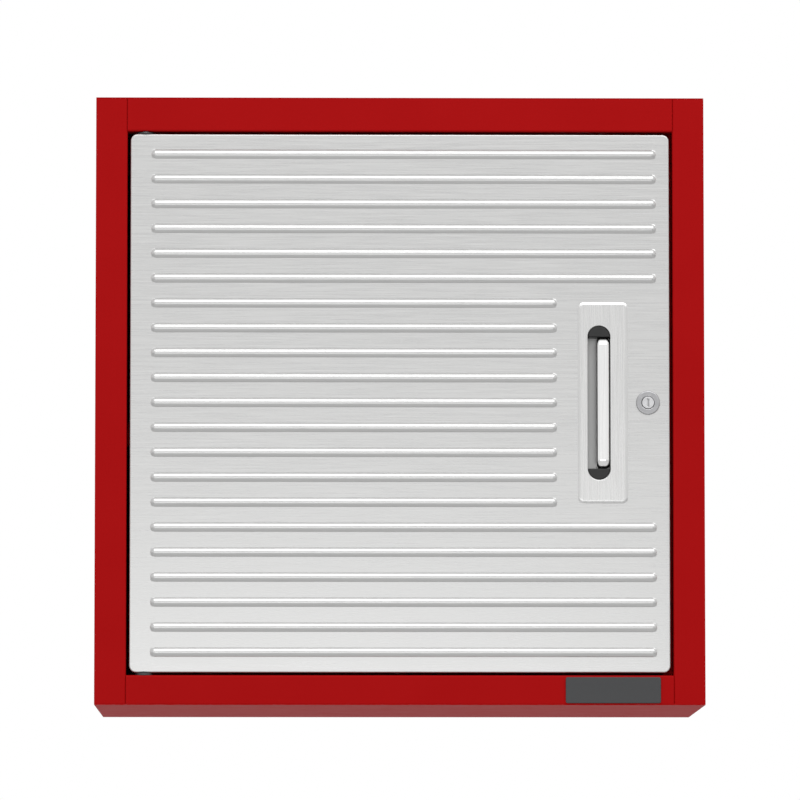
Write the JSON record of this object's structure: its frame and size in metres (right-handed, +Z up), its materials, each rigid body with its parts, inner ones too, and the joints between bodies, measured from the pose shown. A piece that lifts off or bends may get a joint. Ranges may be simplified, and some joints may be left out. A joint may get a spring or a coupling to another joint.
{
  "type": "hanging wall cabinet",
  "caption": "Square steel wall cabinet with a face frame, an inset ribbed door on pivot hinges, a recessed pull, a cam lock and an adjustable shelf.",
  "frame": {"origin": "centre of the four wall bolt holes, on the back face that lies on the wall, at mid width and mid height", "axes": "+Z up, +X to the right as seen by someone facing the door, front faces -Y, +Y into the wall"},
  "size_m": [0.6096, 0.3073, 0.6096],
  "materials": {
    "red_coat": "semi-gloss powder coat",
    "grey_coat": "satin powder coat",
    "stainless": "brushed",
    "polished_stainless": "fine brushed",
    "bright_steel": "bright zinc",
    "zinc": "zinc plate",
    "lock_chrome": "polished",
    "nylon": "moulded",
    "black_plastic": "fine texture",
    "magnet": "ferrite",
    "rubber": "matt",
    "badge_grey": "satin, blank"
  },
  "bodies": {
    "cabinet": {"left_side_panel": "red_coat", "right_side_panel": "red_coat", "top_panel": "red_coat", "bottom_panel": "red_coat", "back_panel": "red_coat", "left_post": "red_coat", "right_post": "red_coat", "top_rail": "red_coat", "bottom_rail": "red_coat", "upper_hanging_rail": "red_coat", "lower_hanging_rail": "red_coat", "left_front_standard": "zinc", "left_rear_standard": "zinc", "right_front_standard": "zinc", "right_rear_standard": "zinc", "shelf_clips": "zinc", "lower_hinge_bracket": "zinc", "upper_hinge_bracket": "zinc", "lower_hinge_pin": "bright_steel", "upper_hinge_pin": "bright_steel", "thrust_washer": "nylon", "catch_bracket": "zinc", "catch_housing": "black_plastic", "catch_magnet": "magnet", "catch_poles": "bright_steel", "catch_screws": "bright_steel", "door_bumpers": "rubber", "badge_plate": "badge_grey"},
    "door": {"door_skin": "stainless", "door_pan": "grey_coat", "door_stiffener": "zinc", "lower_hinge_bush": "nylon", "upper_hinge_bush": "nylon", "handle_plate": "stainless", "handle_screws": "bright_steel", "finger_cup": "stainless", "pull_caps": "black_plastic", "pull_bar": "polished_stainless", "lock_body": "lock_chrome", "lock_nut": "bright_steel", "catch_strike": "bright_steel"},
    "lock": {"lock_plug": "lock_chrome", "lock_cam": "bright_steel", "cam_screw": "bright_steel"},
    "shelf": {"shelf": "red_coat"}
  },
  "joints": [
    {"name": "door_swing", "type": "hinge", "parent": "cabinet", "child": "door", "pos_m": [-0.2553, -0.2953, 0], "axis": [0, 0, -1], "range_deg": [0, 110]},
    {"name": "lock_turn", "type": "hinge", "parent": "door", "child": "lock", "pos_m": [0.2483, -0.2953, -0.0022], "axis": [0, -1, 0], "range_deg": [0, 90]},
    {"name": "shelf_lift", "type": "slide", "parent": "cabinet", "child": "shelf", "axis": [0, 0, 1], "range_m": [0, 0.04]}
  ]
}
